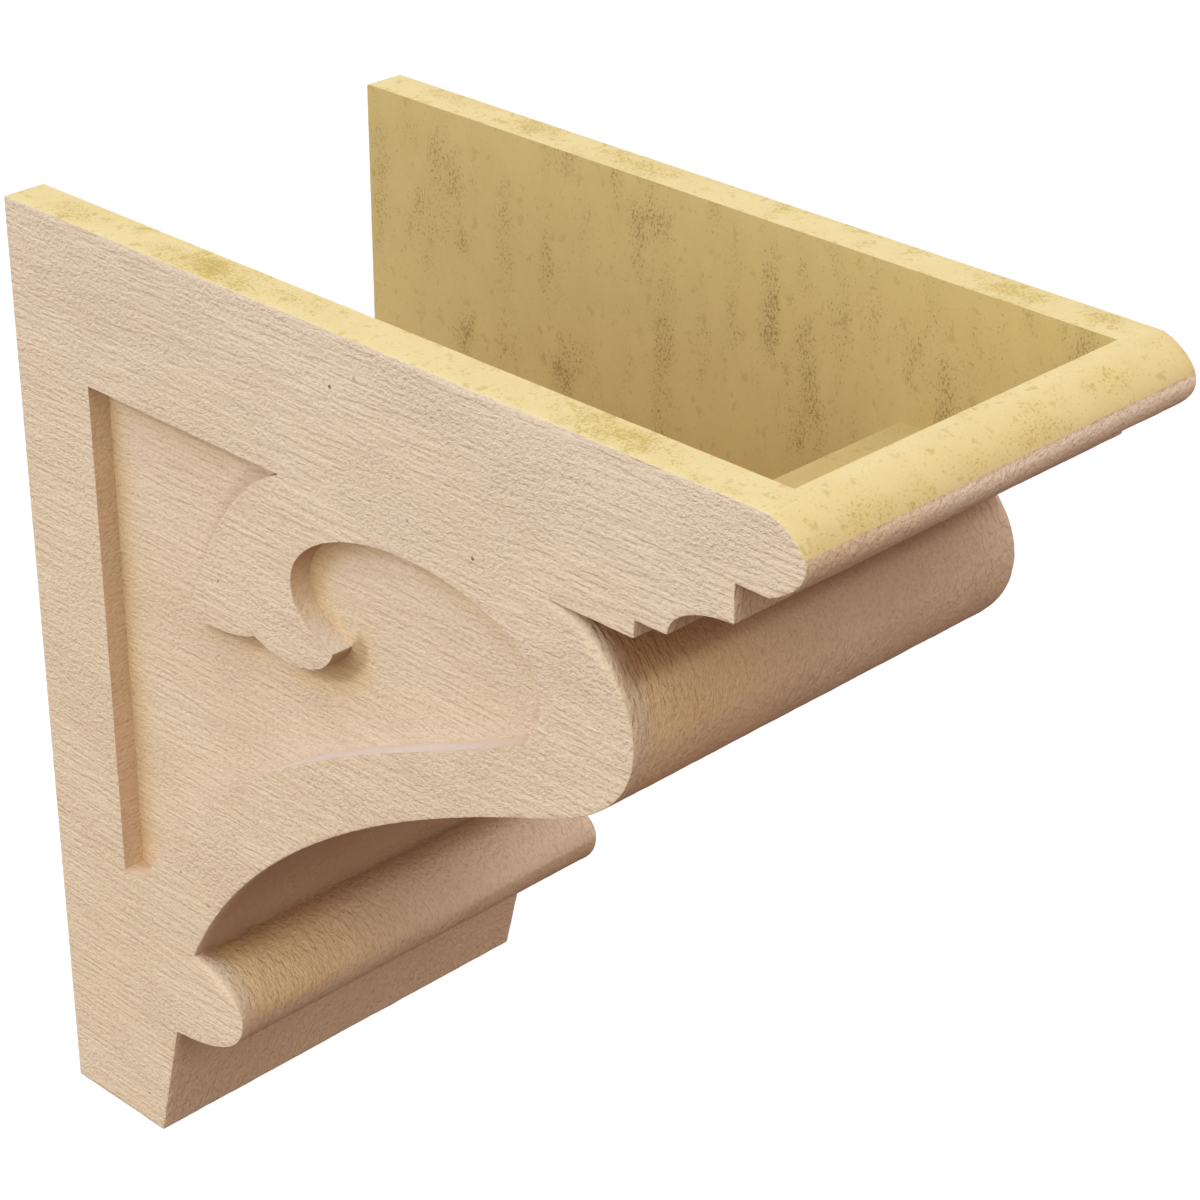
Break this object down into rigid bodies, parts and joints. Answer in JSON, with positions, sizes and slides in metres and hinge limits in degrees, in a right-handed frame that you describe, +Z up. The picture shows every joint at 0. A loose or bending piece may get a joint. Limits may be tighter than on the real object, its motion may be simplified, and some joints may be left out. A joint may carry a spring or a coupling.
{
  "type": "corbel",
  "caption": "Hollow moulded corbel, open at back and top, with a rounded nose, a large roll over an S-curve, a bead and toe, and a sunk panel with a curled leaf on each side.",
  "frame": {"origin": "centre of the bottom rail's back face, on the wall plane: the mount wall_face", "axes": "+Y points into the wall that holds it, so the corbel projects towards -Y; +Z is up; X is across its width"},
  "size_m": [0.2032, 0.4064, 0.4064],
  "materials": {
    "moulded_foam": "matt primed tan skin with a sandblasted wood grain; raw yellow foam on the cut faces and inside"
  },
  "bodies": {
    "root": {"corbel": "moulded_foam"}
  },
  "joints": []
}
